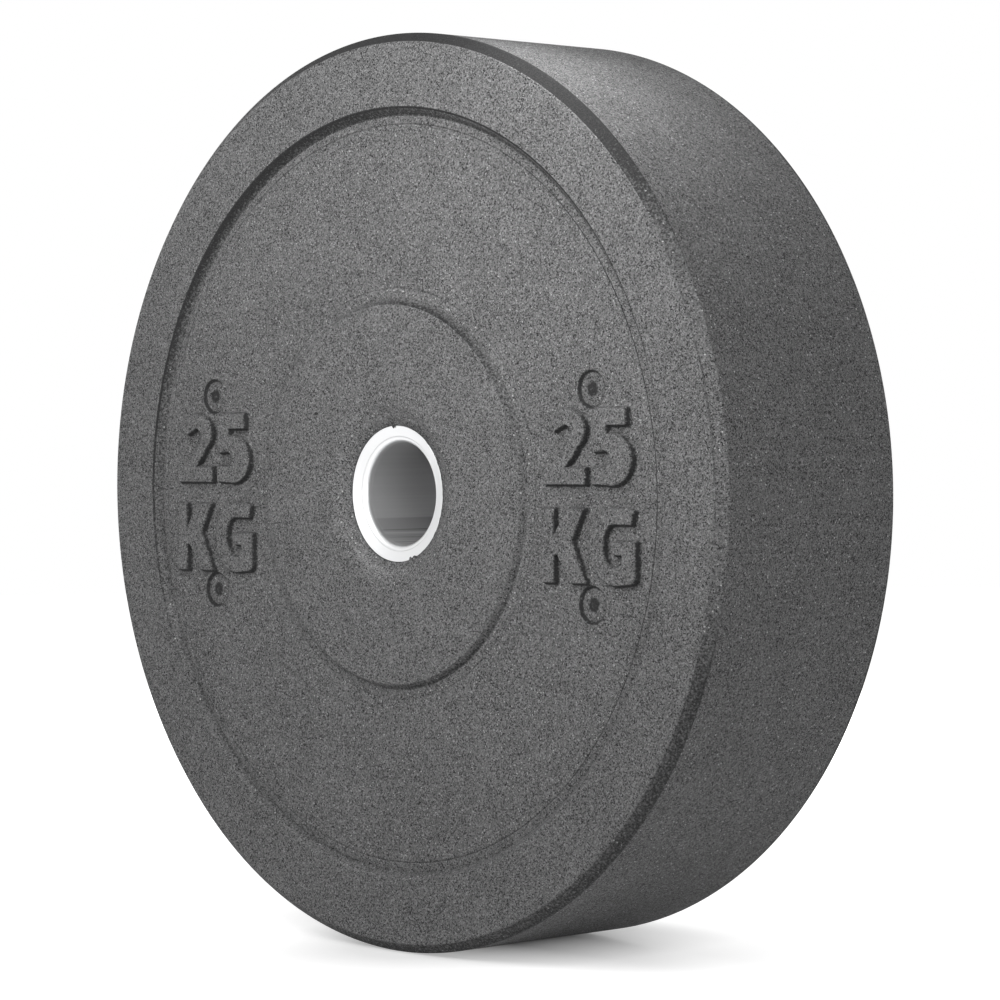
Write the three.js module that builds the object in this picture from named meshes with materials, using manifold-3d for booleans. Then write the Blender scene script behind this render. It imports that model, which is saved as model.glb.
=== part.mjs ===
// Rubber bumper plate, 25 kg: one crumb-rubber moulding around a welded stainless hub.
// Millimetres. The bar's axis is Y, +Z is up, and the photographed face looks to -Y.
// The origin is the centre of the bore, halfway between the two faces.
import * as THREE from 'three';
import { mergeVertices } from 'three/addons/utils/BufferGeometryUtils.js';
import Module from 'manifold-3d';

// Overall sizes of the plate.
const plateDiameter = 450;
const plateWidth = 120;
const boreDiameter = 50.6;

// Clearance between pieces, and how far a cutter runs past what it cuts.
const fitGap = 0.3;
const cutOverrun = 1;

// Edge of the tread: a soft chamfer.
const edgeChamferWidth = 4.8;
const edgeChamferDepth = 4.5;

// Raised rim, sunken web and raised hub face, by radius, and how deep each step goes.
const rimInnerRadius = 188.6;
const rimStepWidth = 3.2;
const rimStepDepth = 4.2;
const webOuterRadius = 180.7;
const webInnerRadius = 100.8;
const webDepth = 3.6;
const hubFaceRadius = 93.4;
const hubStepWidth = 2.1;
const hubStepDepth = 3.1;

// The hub face dips towards the steel lip.
const dishRadius = 47;
const dishShoulderRadius = 43;
const dishShoulderDepth = 0.6;
const lipDepth = 5.5;

// Steel sleeve and the lip collar around each of its ends.
const sleeveWall = 2.9;
const mouthDepth = 6.5;
const mouthRoundDepth = 3;
const mouthRoundWidth = 0.8;
const mouthEndWidth = 0.4;
const collarRadius = 33.5;
const collarFaceFall = 1.5;
const collarFaceThickness = 4;
const collarFlangeRadius = 42;
const collarFlangeThickness = 4;
const collarTailWall = 4;
const collarTailLength = 6;

// Perforated anchor plates and the ring welds.
const anchorRadius = 66;
const anchorThickness = 4;
const anchorStandoff = 20;
const anchorHoleRadius = 7;
const anchorHoleCircleRadius = 48;
const anchorHoleCount = 8;
const weldLeg = 3.5;

// Round marks that the mould's screws leave in the web.
const markRadius = 9;
const markDepth = 1.5;
const markDimpleRadius = 3;
const markDimpleDepth = 3;
const markSideways = 139;
const markUp = 49.4;
const markDown = 50.5;

// Facets around each round piece.
const bodyFacets = 96;
const hubFacets = 48;
const smallFacets = 16;

const plateRadius = plateDiameter / 2;
const halfWidth = plateWidth / 2;
const boreRadius = boreDiameter / 2;
const sleeveRadius = boreRadius + sleeveWall;
const sleeveEnd = halfWidth - lipDepth - collarFaceFall;
const collarBoreRadius = sleeveRadius + fitGap;
const collarTop = halfWidth - lipDepth;
const flangeFront = collarTop - collarFaceThickness;
const flangeBack = flangeFront - collarFlangeThickness;
const tailRadius = collarBoreRadius + collarTailWall;
const tailEnd = flangeBack - collarTailLength;
const anchorFront = tailEnd - anchorStandoff;
const anchorBack = anchorFront - anchorThickness;

const wasm = await Module();
wasm.setup();

// A ring around the bar's axis from an outline of [radius, place along Y] points.
// The outline runs counterclockwise, with the radius to the right and Y up.
// Half a facet of turn puts one flat of the tread at the very bottom.
function ring(outline, facets) {
  const points = outline.map(([radius, along]) => new THREE.Vector2(radius, along));
  points.push(points[0].clone());
  return new THREE.LatheGeometry(points, facets, Math.PI / facets, 2 * Math.PI);
}

// The mirror image of an outline on the other side of the plate, still counterclockwise.
function mirrored(outline) {
  return outline.map(([radius, along]) => [radius, -along]).reverse();
}

// A three.js geometry as a solid that can be joined and cut.
function solid(geometry) {
  const plain = geometry.clone();
  plain.deleteAttribute('normal');
  plain.deleteAttribute('uv');
  const merged = mergeVertices(plain, fitGap / 1000);
  const vertProperties = new Float32Array(merged.attributes.position.array);
  const triVerts = new Uint32Array(merged.index.array);
  return new wasm.Manifold(new wasm.Mesh({ numProp: 3, vertProperties, triVerts }));
}

// A solid back as a three.js geometry.
function geometryOf(shape) {
  const { numProp, vertProperties, triVerts } = shape.getMesh();
  const count = vertProperties.length / numProp;
  const position = new Float32Array(3 * count);
  for (let i = 0; i < count; i += 1) {
    position.set(vertProperties.subarray(i * numProp, i * numProp + 3), 3 * i);
  }
  const geometry = new THREE.BufferGeometry();
  geometry.setAttribute('position', new THREE.BufferAttribute(position, 3));
  geometry.setIndex(new THREE.BufferAttribute(new Uint32Array(triVerts), 1));
  geometry.computeVertexNormals();
  return geometry;
}

// A round bar of the given radius along Y, between its two ends.
function rod(radius, ends, x, z) {
  const geometry = new THREE.CylinderGeometry(radius, radius, Math.abs(ends[1] - ends[0]), smallFacets);
  geometry.translate(x, (ends[0] + ends[1]) / 2, z);
  return geometry;
}

// Places of the anchor holes around the sleeve, as [x, z].
function anchorHoles() {
  const places = [];
  for (let i = 0; i < anchorHoleCount; i += 1) {
    const turn = (2 * Math.PI * (i + 1 / 2)) / anchorHoleCount;
    places.push([anchorHoleCircleRadius * Math.sin(turn), anchorHoleCircleRadius * Math.cos(turn)]);
  }
  return places;
}

// Outline of one face of the rubber, from the tread in to the lip collar.
function faceOutline() {
  const stepFoot = rimInnerRadius - rimStepWidth;
  const hubFoot = hubFaceRadius + hubStepWidth;
  return [
    [plateRadius, halfWidth - edgeChamferDepth],
    [plateRadius - edgeChamferWidth, halfWidth],
    [rimInnerRadius, halfWidth],
    [stepFoot, halfWidth - rimStepDepth],
    [webOuterRadius, halfWidth - webDepth],
    [webInnerRadius, halfWidth - webDepth],
    [hubFoot, halfWidth - hubStepDepth],
    [hubFaceRadius, halfWidth],
    [dishRadius, halfWidth],
    [dishShoulderRadius, halfWidth - dishShoulderDepth],
    [collarRadius, collarTop],
  ];
}

// Outline of the space that the steel hub takes up in the rubber, on one side of the plate.
function hubSpaceOutline() {
  const wide = sleeveRadius + fitGap;
  return [
    [wide, anchorBack - fitGap],
    [anchorRadius + fitGap, anchorBack - fitGap],
    [anchorRadius + fitGap, anchorFront + fitGap],
    [wide + weldLeg + fitGap, anchorFront + fitGap],
    [wide, anchorFront + weldLeg + 2 * fitGap],
    [wide, tailEnd - weldLeg - 2 * fitGap],
    [wide + weldLeg + fitGap, tailEnd - fitGap],
    [tailRadius + fitGap, tailEnd - fitGap],
    [tailRadius + fitGap, flangeBack - fitGap],
    [collarFlangeRadius + fitGap, flangeBack - fitGap],
    [collarFlangeRadius + fitGap, flangeFront + fitGap],
    [collarRadius + fitGap, flangeFront + fitGap],
    [collarRadius + fitGap, halfWidth + cutOverrun],
  ];
}

// The rubber moulding: the turned body, less the hub's space and the mould marks,
// plus the rubber that fills the anchor plates' holes.
function rubberBody() {
  const face = faceOutline();
  const turned = ring([[0, -collarTop], ...mirrored(face), ...face, [0, collarTop]], bodyFacets);
  const hub = hubSpaceOutline();
  const end = halfWidth + cutOverrun;
  let body = solid(turned).subtract(solid(ring([[0, -end], ...mirrored(hub), ...hub, [0, end]], hubFacets)));
  for (const side of [-1, 1]) {
    for (const [x, z] of anchorHoles()) {
      const ends = [side * (anchorBack - fitGap - cutOverrun), side * (anchorFront + fitGap + cutOverrun)];
      body = body.add(solid(rod(anchorHoleRadius - fitGap, ends, x, z)));
    }
    const web = halfWidth - webDepth;
    for (const [x, z] of [[1, markUp], [1, -markDown], [-1, markUp], [-1, -markDown]]) {
      for (const [radius, depth] of [[markRadius, markDepth], [markDimpleRadius, markDimpleDepth]]) {
        const ends = [side * (web - depth), side * (web + cutOverrun)];
        body = body.subtract(solid(rod(radius, ends, x * markSideways, z)));
      }
    }
  }
  return geometryOf(body);
}

// The steel tube that lines the bore, with its two rounded mouths.
function hubSleeve() {
  const mouth = [
    [sleeveRadius, sleeveEnd],
    [sleeveRadius - mouthEndWidth, sleeveEnd],
    [boreRadius + mouthRoundWidth, sleeveEnd - mouthDepth + mouthRoundDepth],
    [boreRadius, sleeveEnd - mouthDepth],
  ];
  return ring([...mirrored(mouth), ...mouth], hubFacets);
}

// The collar around one end of the sleeve: bright lip, buried flange and tail.
function lipCollar(side) {
  const outline = [
    [collarBoreRadius, tailEnd],
    [tailRadius, tailEnd],
    [tailRadius, flangeBack],
    [collarFlangeRadius, flangeBack],
    [collarFlangeRadius, flangeFront],
    [collarRadius, flangeFront],
    [collarRadius, collarTop],
    [collarBoreRadius, sleeveEnd],
  ];
  return ring(side > 0 ? outline : mirrored(outline), hubFacets);
}

// A ring weld with a triangular section, in the corner between the sleeve and a face.
// It fills the corner from the given place along Y in the given direction.
function ringWeld(from, direction) {
  const inner = sleeveRadius + fitGap;
  const start = from + direction * fitGap;
  const outline = [[inner, start], [inner + weldLeg, start], [inner, start + direction * weldLeg]];
  return ring(direction > 0 ? outline : outline.reverse(), hubFacets);
}

// A perforated steel disc around the sleeve.
function anchorPlate(side) {
  const inner = sleeveRadius + fitGap;
  const outline = [[inner, anchorBack], [anchorRadius, anchorBack], [anchorRadius, anchorFront], [inner, anchorFront]];
  let plate = solid(ring(side > 0 ? outline : mirrored(outline), hubFacets));
  for (const [x, z] of anchorHoles()) {
    const ends = [side * (anchorBack - cutOverrun), side * (anchorFront + cutOverrun)];
    plate = plate.subtract(solid(rod(anchorHoleRadius, ends, x, z)));
  }
  return geometryOf(plate);
}

const crumbRubber = { color: 0x4b4b4c, roughness: 0.85, metalness: 0 };
const stainlessSteel = { color: 0xd5d7d9, roughness: 0.25, metalness: 1 };
const plainSteel = { color: 0x6f7377, roughness: 0.55, metalness: 0.9 };
const weldMetal = { color: 0x8b8782, roughness: 0.6, metalness: 0.9 };

const plate = new THREE.Group();
plate.name = 'bumper_plate';

function place(name, geometry, look) {
  const mesh = new THREE.Mesh(geometry, new THREE.MeshStandardMaterial(look));
  mesh.name = name;
  plate.add(mesh);
}

place('rubber_body', rubberBody(), crumbRubber);
place('hub_sleeve', hubSleeve(), stainlessSteel);
for (const [name, side] of [['front', -1], ['rear', 1]]) {
  place(`${name}_lip_collar`, lipCollar(side), stainlessSteel);
  place(`${name}_anchor_plate`, anchorPlate(side), plainSteel);
  place(`${name}_collar_weld`, ringWeld(side * tailEnd, -side), weldMetal);
  place(`${name}_plate_weld`, ringWeld(side * anchorFront, side), weldMetal);
}

export default plate;
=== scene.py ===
# Rubber bumper plate, 25 kg: crumb-rubber moulding, steel hub and a pale studio.
# Metres. The bar's axis is Y, +Z is up, and the photographed face looks to -Y.
import math

import bpy
import numpy as np
from bpy.props import FloatProperty, FloatVectorProperty, PointerProperty
from mathutils import Matrix, Vector


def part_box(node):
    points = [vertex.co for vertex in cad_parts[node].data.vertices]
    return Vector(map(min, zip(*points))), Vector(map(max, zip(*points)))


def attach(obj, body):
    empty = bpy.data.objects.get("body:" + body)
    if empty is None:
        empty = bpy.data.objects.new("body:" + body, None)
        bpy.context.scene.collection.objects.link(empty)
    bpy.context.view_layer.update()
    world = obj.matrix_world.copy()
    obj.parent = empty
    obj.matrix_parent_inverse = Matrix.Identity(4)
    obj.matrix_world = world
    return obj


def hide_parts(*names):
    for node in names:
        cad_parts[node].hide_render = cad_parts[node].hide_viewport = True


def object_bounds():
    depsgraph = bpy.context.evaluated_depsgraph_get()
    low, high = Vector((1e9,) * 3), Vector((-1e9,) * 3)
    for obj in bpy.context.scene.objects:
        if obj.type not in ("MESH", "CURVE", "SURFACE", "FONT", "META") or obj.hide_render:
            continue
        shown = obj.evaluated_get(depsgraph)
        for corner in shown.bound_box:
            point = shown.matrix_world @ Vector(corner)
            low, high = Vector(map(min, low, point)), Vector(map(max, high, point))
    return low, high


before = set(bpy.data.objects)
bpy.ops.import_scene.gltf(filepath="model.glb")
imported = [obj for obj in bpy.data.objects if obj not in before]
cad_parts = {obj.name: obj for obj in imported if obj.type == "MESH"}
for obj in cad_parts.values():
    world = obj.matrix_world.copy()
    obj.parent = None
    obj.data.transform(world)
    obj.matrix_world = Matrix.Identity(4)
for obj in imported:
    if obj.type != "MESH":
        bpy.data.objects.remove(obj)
CAD_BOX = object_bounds()
TREAD_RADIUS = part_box("rubber_body")[1][2]
HALF_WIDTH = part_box("rubber_body")[1][1]

bl_info = {
    "name": "Rubber bumper plate",
    "version": (1, 0, 0),
    "blender": (4, 5, 0),
    "location": "3D View > Sidebar > Plate",
    "description": "A 25 kg crumb-rubber plate with its steel hub, in a pale studio",
    "category": "Object",
}


def length(name, description, default):
    """A size in metres that a user may change."""
    return FloatProperty(
        name=name, description=description, default=default, min=0.0, precision=5, unit="LENGTH"
    )


def number(name, description, default, unit="NONE"):
    """A number of any sign that a user may change."""
    return FloatProperty(name=name, description=description, default=default, unit=unit)


def angle(name, description, degrees):
    """An angle that a user may change, given in degrees."""
    turn = math.radians(degrees)
    return FloatProperty(name=name, description=description, default=turn, subtype="ANGLE")


def colour(name, description, default):
    """A colour that a user may change."""
    return FloatVectorProperty(
        name=name, description=description, default=default,
        size=3, min=0.0, max=1.0, subtype="COLOR",
    )


class PlateRubberSizes(bpy.types.PropertyGroup):
    """Sizes of the rubber moulding."""

    tread_radius: length("Tread radius", "Radius of the tread", TREAD_RADIUS)
    half_width: length("Half width", "From the middle of the plate to a face", HALF_WIDTH)
    edge_width: length("Edge width", "How far the tread's chamfer reaches in over the face", 0.0048)
    edge_depth: length("Edge depth", "How far the tread's chamfer reaches along the tread", 0.0045)
    rim_radius: length("Rim radius", "Inner radius of the raised rim", 0.1886)
    rim_step: length("Rim step", "Width of the slope from the rim down", 0.0032)
    rim_drop: length("Rim drop", "Depth at the foot of the rim's slope", 0.0042)
    web_outer: length("Web outer radius", "Radius of the crease outside the web", 0.1807)
    web_inner: length("Web inner radius", "Radius of the crease inside the web", 0.1008)
    web_depth: length("Web depth", "How deep the web lies under the rim", 0.0036)
    ring_thickness: length("Lettered ring", "Thickness of the lettered ring's skin", 0.0024)
    crease_width: length("Crease width", "Half width of the thin creases", 0.0004)
    outer_crease: length("Outer crease", "Depth of the thin crease outside the web", 0.0003)
    inner_crease: length("Inner crease", "Depth of the thin crease inside the web", 0.0002)
    hub_radius: length("Hub radius", "Radius of the raised hub face", 0.0934)
    hub_step: length("Hub step", "Width of the slope from the hub face down", 0.0021)
    hub_drop: length("Hub drop", "Depth at the foot of the hub's slope", 0.0031)
    dish_radius: length("Dish radius", "Where the hub face starts to fall to the lip", 0.047)
    shoulder_radius: length("Dish shoulder", "Where the fall gets steeper", 0.043)
    shoulder_drop: length("Shoulder drop", "Depth at the dish's shoulder", 0.0006)
    lip_depth: length("Lip depth", "How deep the steel lip lies under the hub face", 0.0055)
    rounding: length("Rounding", "Rounding of the moulded edges", 0.0007)


class PlateLetterSizes(bpy.types.PropertyGroup):
    """Sizes of the raised weight mark and of the mould's round marks."""

    height: length("Letter height", "How far the letters stand out of the web", 0.0034)
    draft: length("Letter draft", "How far a letter's wall slopes out to its foot", 0.0014)
    sideways: length("Label place", "From the middle of the plate to a label's middle", 0.13815)
    mark_radius: length("Mark radius", "Radius of the mould's round marks", 0.0089)
    mark_depth: length("Mark depth", "Depth of the round marks at their wall", 0.0015)
    mark_rise: length("Mark rise", "How much a round mark's floor rises to its middle", 0.0011)
    mark_wall: length("Mark wall", "Slope of a round mark's wall", 0.0009)
    dimple_radius: length("Dimple radius", "Radius of the pit in a round mark", 0.0045)
    dimple_depth: length("Dimple depth", "Depth of the pit in a round mark", 0.0007)
    mark_sideways: length("Mark place", "From the middle of the plate to a mark, sideways", 0.139)
    mark_shift: length("Mark shift", "How far all the marks sit to the left of that", 0.0005)
    mark_stray: length("Stray mark", "How much further left the upper left mark sits", 0.0009)
    mark_up: length("Mark height", "From the middle of the plate up to a mark", 0.0494)
    mark_down: length("Mark drop", "From the middle of the plate down to a mark", 0.0505)


class PlateSteelSizes(bpy.types.PropertyGroup):
    """Sizes of the steel sleeve and its lip collars."""

    bore_radius: length("Bore radius", "Radius of the bore", 0.0253)
    sleeve_radius: length("Sleeve radius", "Outer radius of the sleeve", 0.0282)
    sleeve_end: length("Sleeve end", "From the middle of the plate to the sleeve's end", 0.053)
    mouth_depth: length("Mouth depth", "Depth of the rounded mouth", 0.0036)
    mouth_width: length("Mouth width", "Radial width of the rounded mouth", 0.0026)
    collar_bore: length("Collar bore", "Inner radius of the lip collar", 0.02827)
    lip_radius: length("Lip radius", "Outer radius of the bright lip", 0.0335)
    lip_thickness: length("Lip thickness", "Thickness of the bright lip", 0.004)
    flange_radius: length("Flange radius", "Radius of the flange under the rubber", 0.042)
    flange_thickness: length("Flange thickness", "Thickness of the flange", 0.004)
    tail_radius: length("Tail radius", "Radius of the collar's tail", 0.0325)
    tail_length: length("Tail length", "Length of the collar's tail", 0.006)
    anchor_radius: length("Anchor radius", "Radius of the buried anchor plates", 0.066)
    anchor_inner: length("Anchor place", "From the middle to an anchor plate's inner side", 0.0165)
    anchor_outer: length("Anchor end", "From the middle to an anchor plate's outer side", 0.0205)
    weld_leg: length("Weld leg", "Leg of the ring welds", 0.0035)
    clearance: length("Clearance", "Gap between the steel and the rubber", 0.0003)


class PlateLooks(bpy.types.PropertyGroup):
    """Colours and finishes."""

    crumb_dark: colour("Dark crumb", "Darkest rubber granules", (0.02, 0.02, 0.0205))
    crumb_light: colour("Light crumb", "Lightest rubber granules", (0.365, 0.365, 0.367))
    # The fleck colour also pales the rubber where painted light is, on the dish and at the lip's
    # edge.
    fleck: colour("Fleck", "Pale flecks between the granules", (0.6, 0.6, 0.6))
    # The pressed skin colour is also the colour of the painted shade that the skin values carry.
    skin: colour("Pressed skin", "Rubber pressed smooth by the mould", (0.028, 0.028, 0.0285))
    crumb_size: length("Crumb size", "Size of a rubber granule", 0.00058)
    steel: colour("Steel", "Turned stainless steel", (0.78, 0.785, 0.79))
    bore: colour("Bore steel", "Drawn steel inside the bore", (0.37, 0.37, 0.375))
    seam_drop: length("Seam drop", "How far the tube's seam lies under the axis", 0.0182)
    plain_steel: colour("Plain steel", "Buried plates", (0.19, 0.195, 0.205))
    weld: colour("Weld", "Weld beads", (0.24, 0.22, 0.2))


class PlateStudio(bpy.types.PropertyGroup):
    """Camera, lamps and surroundings."""

    focal_length: number("Lens", "Focal length in millimetres", 128.37, "CAMERA")
    distance: length("Distance", "From the camera to the plate, along the view", 1.78675)
    azimuth: angle("Azimuth", "Turn of the camera around Z", 47.008)
    elevation: angle("Elevation", "Rise of the camera", 1.557)
    roll: angle("Roll", "How far the plate had rolled, taken up by the camera", 0.66)
    slide_right: number("Slide right", "Camera's place to the right", 0.010756, "LENGTH")
    slide_up: number("Slide up", "Camera's place upwards", -0.004077, "LENGTH")
    key: number("Key", "Power of the soft lamp above the front", 3.0, "POWER")
    edge: number("Edge", "Power of the small lamp over the tread", 0.2, "POWER")
    side: number("Side", "Power of the low lamp at the right", 5.9, "POWER")
    rear: number("Rear", "Power of the lamp behind the plate", 16.0, "POWER")
    world: number("World", "Strength of the surroundings", 0.15)


# Shapes: arrays of points in the plane of a profile or of a face.


# How far the extra points beside a rounded corner lie from it, as a share of its reach.
FLAT_SHARE = 1.6

# Profile points closer together than this are one point.
SAME_POINT = 1e-6

# Keeps a division by a distance from being one by nothing.
TINY = 1e-9


def arc(centre, radii, start, end, steps=24):
    """Points on an ellipse from one angle to another, in degrees, counterclockwise from +X."""
    turn = np.radians(np.linspace(start, end, steps))
    x, y = centre[0] + radii[0] * np.cos(turn), centre[1] + radii[1] * np.sin(turn)
    return np.stack([x, y], axis=1)


def rounded(corners, steps=5):
    """A closed profile with its corners rounded.

    Each corner is (radius, along, reach, value, ...). It becomes a quadratic curve that leaves
    the straight runs at the given reach from the corner, with one more point a little before and
    after it, so that the flats beside it stay flat in the shading. Returns the points and the
    row of values of each.
    """
    table = np.array(corners, float)
    points, reach, values = table[:, :2], table[:, 2:3], table[:, 3:]
    before = np.roll(points, 1, 0) - points
    after = np.roll(points, -1, 0) - points
    before /= np.linalg.norm(before, axis=1, keepdims=True)
    after /= np.linalg.norm(after, axis=1, keepdims=True)
    t = np.linspace(0, 1, steps)[None, :, None]
    start, end = (points + before * reach)[:, None], (points + after * reach)[:, None]
    curve = (1 - t) ** 2 * start + 2 * t * (1 - t) * points[:, None] + t**2 * end
    far_before = points + before * reach * FLAT_SHARE
    far_after = points + after * reach * FLAT_SHARE
    run = np.concatenate([far_before[:, None], curve, far_after[:, None]], axis=1)
    values = np.repeat(values, run.shape[1], axis=0)
    run = run.reshape(-1, 2)
    keep = np.linalg.norm(run - np.roll(run, 1, 0), axis=1) > SAME_POINT
    return run[keep], values[keep]


def grid_faces(rows, columns):
    """Quads of a grid that closes on itself both ways, row by row."""
    i, j = np.meshgrid(np.arange(rows), np.arange(columns), indexing="ij")
    down, right = (i + 1) % rows, (j + 1) % columns
    corners = [i * columns + j, down * columns + j, down * columns + right, i * columns + right]
    return np.stack(corners, axis=-1).reshape(-1, 4)


def revolve(profile, turns):
    """A profile of (radius, along) carried round the bar's axis.

    x is radius times cos(turn), y is the place along the axis, z is radius times sin(turn).
    """
    radius, along = profile[:, :1], profile[:, 1:]
    x, z = radius * np.cos(turns), radius * np.sin(turns)
    return np.stack([x, along + 0 * x, z], axis=-1)


def mirrored(corners):
    """The mirror image of profile corners on the other side of the plate, still in order."""
    return [(radius, -along, *rest) for radius, along, *rest in reversed(corners)]


def around(count):
    """Evenly spaced turns for a whole circle."""
    return np.arange(count) * 2 * np.pi / count


def spaced(stops, counts):
    """Numbers from stop to stop, each stretch cut into its own count of equal steps."""
    stretches = zip(stops[:-1], stops[1:], counts)
    runs = [np.linspace(a, b, n, endpoint=False) for a, b, n in stretches]
    return np.concatenate([*runs, stops[-1:]])


def add_piece(name, points, faces, material, values):
    """A mesh object from arrays of points and faces, riding on the plate.

    The values are the attributes of the points, one number a point.
    """
    mesh = bpy.data.meshes.new(name)
    points = points.reshape(-1, 3)
    count, sides = faces.shape
    mesh.vertices.add(len(points))
    mesh.vertices.foreach_set("co", points.astype(np.float32).ravel())
    mesh.loops.add(count * sides)
    mesh.loops.foreach_set("vertex_index", faces.astype(np.int32).ravel())
    mesh.polygons.add(count)
    mesh.polygons.foreach_set("loop_start", np.arange(count, dtype=np.int32) * sides)
    mesh.update(calc_edges=True)
    for key, numbers in values.items():
        attribute = mesh.attributes.new(key, "FLOAT", "POINT")
        attribute.data.foreach_set("value", numbers.astype(np.float32).ravel())
    mesh.shade_smooth()
    mesh.materials.append(material)
    piece = bpy.data.objects.new(name, mesh)
    bpy.context.scene.collection.objects.link(piece)
    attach(piece, "root")
    return piece


# The weight mark: outlines of its figures and letters in millimetres from a label's middle.


def figure_two():
    """Outline of the 2: an outer bowl, a slanting stroke, a base bar and a short hook."""
    return np.concatenate([
        [[-28.4, 5.4], [-1.4, 5.4], [-1.4, 12.7], [-15.0, 12.7], [-8.9, 18.9]],
        arc((-14.5, 30.5), (13.1, 9.8), -50, 160, 44),
        [[-21.6, 29.9], [-17.6, 31.9]],
        arc((-14.3, 27.8), (4.6, 5.4), 95, -40, 20),
        [[-28.4, 10.6]],
    ])


def figure_five():
    """Outline of the 5: a top bar, a short stem and an open bowl between two arcs."""
    return np.concatenate([
        [[4.4, 40.2], [4.4, 20.4]],
        arc((11.3, 17.0), (4.4, 4.0), 95, -90, 24),
        [[3.6, 13.0], [3.6, 5.5]],
        arc((15.8, 16.8), (13.2, 11.8), -105, 92, 44),
        [[12.5, 28.4], [12.5, 32.9], [25.2, 32.9], [25.2, 40.2]],
    ])


def letter_k():
    """Outline of the K: a stem, an arm and a leg, all straight."""
    return np.array([
        [-30.2, -40.4], [-22.6, -40.4], [-22.6, -28.0], [-21.0, -26.9], [-19.5, -27.6],
        [-11.2, -40.4], [-1.5, -40.4], [-10.6, -20.8], [-2.6, -6.3], [-13.4, -6.3],
        [-22.6, -19.6], [-22.6, -6.3], [-30.2, -6.3],
    ])


def letter_g():
    """Outline of the G: an outer and an inner arc, a cut terminal and a spur with its bar."""
    return np.concatenate([
        [[28.4, -12.8]],
        arc((17.2, -23.0), (7.0, 10.3), 88, 285, 40),
        [[22.9, -31.4], [22.9, -26.8], [17.0, -26.8], [17.0, -21.2], [31.1, -21.2], [31.1, -36.4]],
        arc((27.4, -36.6), (3.7, 3.6), -5, -70, 8),
        arc((18.5, -23.2), (16.4, 17.7), -82, -275, 56),
        [[26.4, -5.9], [30.2, -7.1]],
    ])


# How far from a letter its distance is still worked out, and the distance given beyond that.
LETTER_MARGIN = 0.004
FAR_AWAY = 1.0

# The floor of a round mark starts to rise at this share of its radius from the middle.
RISE_REACH = 0.85

# The dimple in a mark is a bowl raised to this power, with a nub in its middle that has these
# shares of its radius and its depth.
DIMPLE_POWER = 0.7
NUB_REACH, NUB_HEIGHT = 0.4, 0.6

# The dark bands on the letters' and the marks' walls, partly pressed skin and partly painted
# shade, reach this far from the wall's middle, as a share of the wall's slope.
LETTER_BAND, MARK_BAND = 0.65, 1.2

# Skin value of a letter's wall, a mark's wall and its dimple, partly pressed skin and partly
# painted shade, and what the nub takes from it.
LETTER_SKIN_AND_SHADE, MARK_SKIN_AND_SHADE, DIMPLE_SKIN_AND_SHADE, NUB_PALER = 1.45, 1.3, 1.3, 0.3

# How much less dark a letter's wall is where it faces up, which is painted light, and what is
# left at least.
UPWARD_LESS_SHADE, WALL_LEAST = 0.62, 0.38


def outline_distance(points, outline):
    """Signed distance from points to a closed outline, negative inside, and the way outwards.

    The distance is to the nearest foot of a perpendicular on the outline's edges, held between
    each edge's ends. A point is inside where a ray to the right crosses an odd number of edges.
    """
    edge = np.roll(outline, -1, 0) - outline
    to_point = points[:, None] - outline[None]
    share = np.clip((to_point * edge).sum(-1) / (edge**2).sum(-1), 0, 1)
    gap = to_point - share[..., None] * edge
    reach = np.hypot(gap[..., 0], gap[..., 1])
    nearest = reach.argmin(axis=1)
    rows = np.arange(len(points))
    gap, reach = gap[rows, nearest], reach[rows, nearest]
    end = outline + edge
    z = points[:, 1:2]
    spans = (outline[:, 1] > z) != (end[:, 1] > z)
    rise = np.where(edge[:, 1] == 0, 1, edge[:, 1])
    cross = outline[:, 0] + (z - outline[:, 1]) / rise * edge[:, 0]
    inside = (spans & (points[:, :1] < cross)).sum(axis=1) % 2 == 1
    sign = np.where(inside, -1.0, 1.0)
    return sign * reach, sign[:, None] * gap / np.maximum(reach, TINY)[:, None]


def letter_field(x, z, sizes):
    """Distance to the nearest letter and the way outwards, at every point of a grid."""
    distance = np.full(x.shape, FAR_AWAY)
    outward = np.zeros(x.shape + (2,))
    for side in (-1, 1):
        for figure in (figure_two(), figure_five(), letter_k(), letter_g()):
            outline = figure / 1000 + [side * sizes.sideways, 0]
            low, high = outline.min(0) - LETTER_MARGIN, outline.max(0) + LETTER_MARGIN
            near = (x > low[0]) & (x < high[0]) & (z > low[1]) & (z < high[1])
            found, way = outline_distance(np.stack([x[near], z[near]], axis=1), outline)
            closer = found < distance[near]
            distance[near] = np.where(closer, found, distance[near])
            outward[near] = np.where(closer[:, None], way, outward[near])
    return distance, outward


def mark_field(x, z, sizes):
    """Distance to the middle of the nearest round mark and the way outwards from it."""
    left = np.where(z > 0, sizes.mark_sideways + sizes.mark_stray, sizes.mark_sideways)
    dx = x + sizes.mark_shift + np.where(x > 0, -sizes.mark_sideways, left)
    dz = z - np.where(z > 0, sizes.mark_up, -sizes.mark_down)
    distance = np.hypot(dx, dz)
    return distance, np.stack([dx, dz], axis=-1) / np.maximum(distance, TINY)[..., None]


def smaller_step(numbers):
    """The smaller of the steps before and after each number of a rising row."""
    steps = np.diff(numbers)
    return np.minimum(np.append(steps, steps[-1]), np.insert(steps, 0, steps[0]))


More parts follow.
